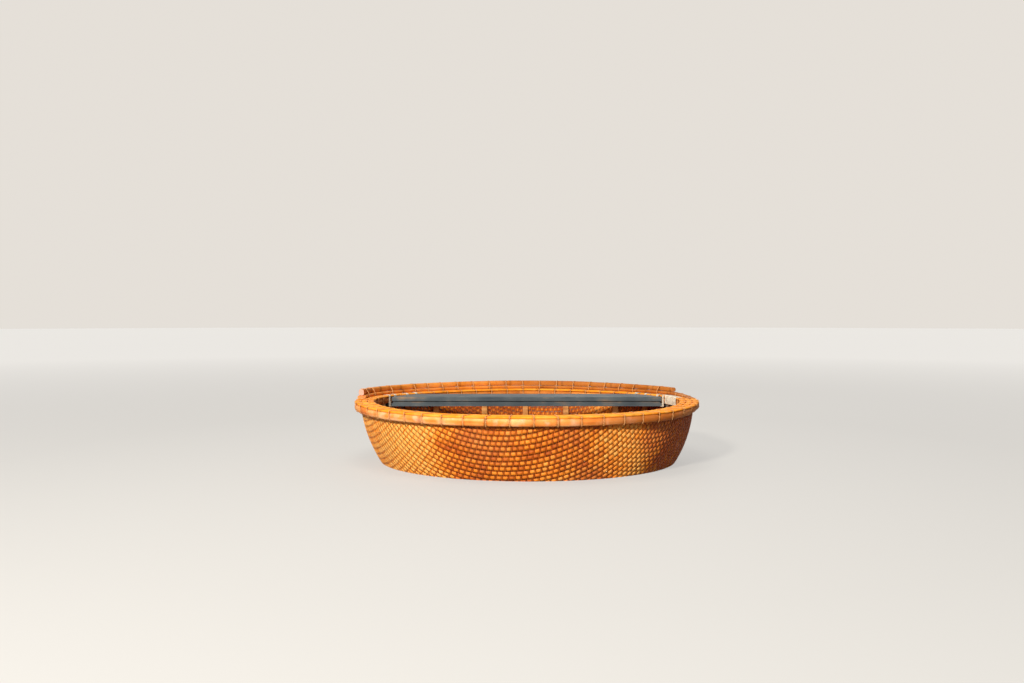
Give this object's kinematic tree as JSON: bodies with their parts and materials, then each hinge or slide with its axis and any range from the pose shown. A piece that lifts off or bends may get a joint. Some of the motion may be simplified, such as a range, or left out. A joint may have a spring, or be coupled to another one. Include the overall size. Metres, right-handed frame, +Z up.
{
  "type": "round woven bamboo basket boat",
  "caption": "Round coracle with a woven bamboo bowl hull, a lashed rim of split-bamboo hoops, crossing ribs and a painted bench.",
  "frame": {"origin": "centre of the flat bottom, on the ground, on the hull's own axis", "axes": "+Z up along the bowl's axis, the shortest extent; +Y towards the far side with the bench and the raised hoop; +X to the right, along the bench"},
  "size_m": [1.9674, 1.9674, 0.5707],
  "materials": {
    "woven_bamboo": "woven strips under a coat of resin, semi-gloss",
    "split_bamboo": "split bamboo with its skin, satin",
    "rib_bamboo": "split bamboo, dull and worn",
    "rattan_cord": "twisted cord, matt",
    "painted_wood": "blue-grey paint, worn at the edges",
    "twine": "pale laid twine, matt"
  },
  "bodies": {
    "root": {"hull": "woven_bamboo", "outer_hoop": "split_bamboo", "inner_hoop_back": "split_bamboo", "inner_hoop_face": "split_bamboo", "cap_splint_inner": "split_bamboo", "cap_splint_middle": "split_bamboo", "cap_splint_outer": "split_bamboo", "raised_base": "split_bamboo", "raised_pole": "split_bamboo", "rim_lashings": "rattan_cord", "rib_across_1": "rib_bamboo", "rib_across_2": "rib_bamboo", "rib_across_3": "rib_bamboo", "rib_across_4": "rib_bamboo", "rib_across_5": "rib_bamboo", "rib_along_1": "rib_bamboo", "rib_along_2": "rib_bamboo", "rib_along_3": "rib_bamboo", "rib_along_4": "rib_bamboo", "rib_along_5": "rib_bamboo", "bench_plank": "painted_wood", "bench_bearer_front": "painted_wood", "bench_bearer_back": "painted_wood", "bench_lashing_left": "twine", "bench_lashing_right": "twine"}
  },
  "joints": []
}
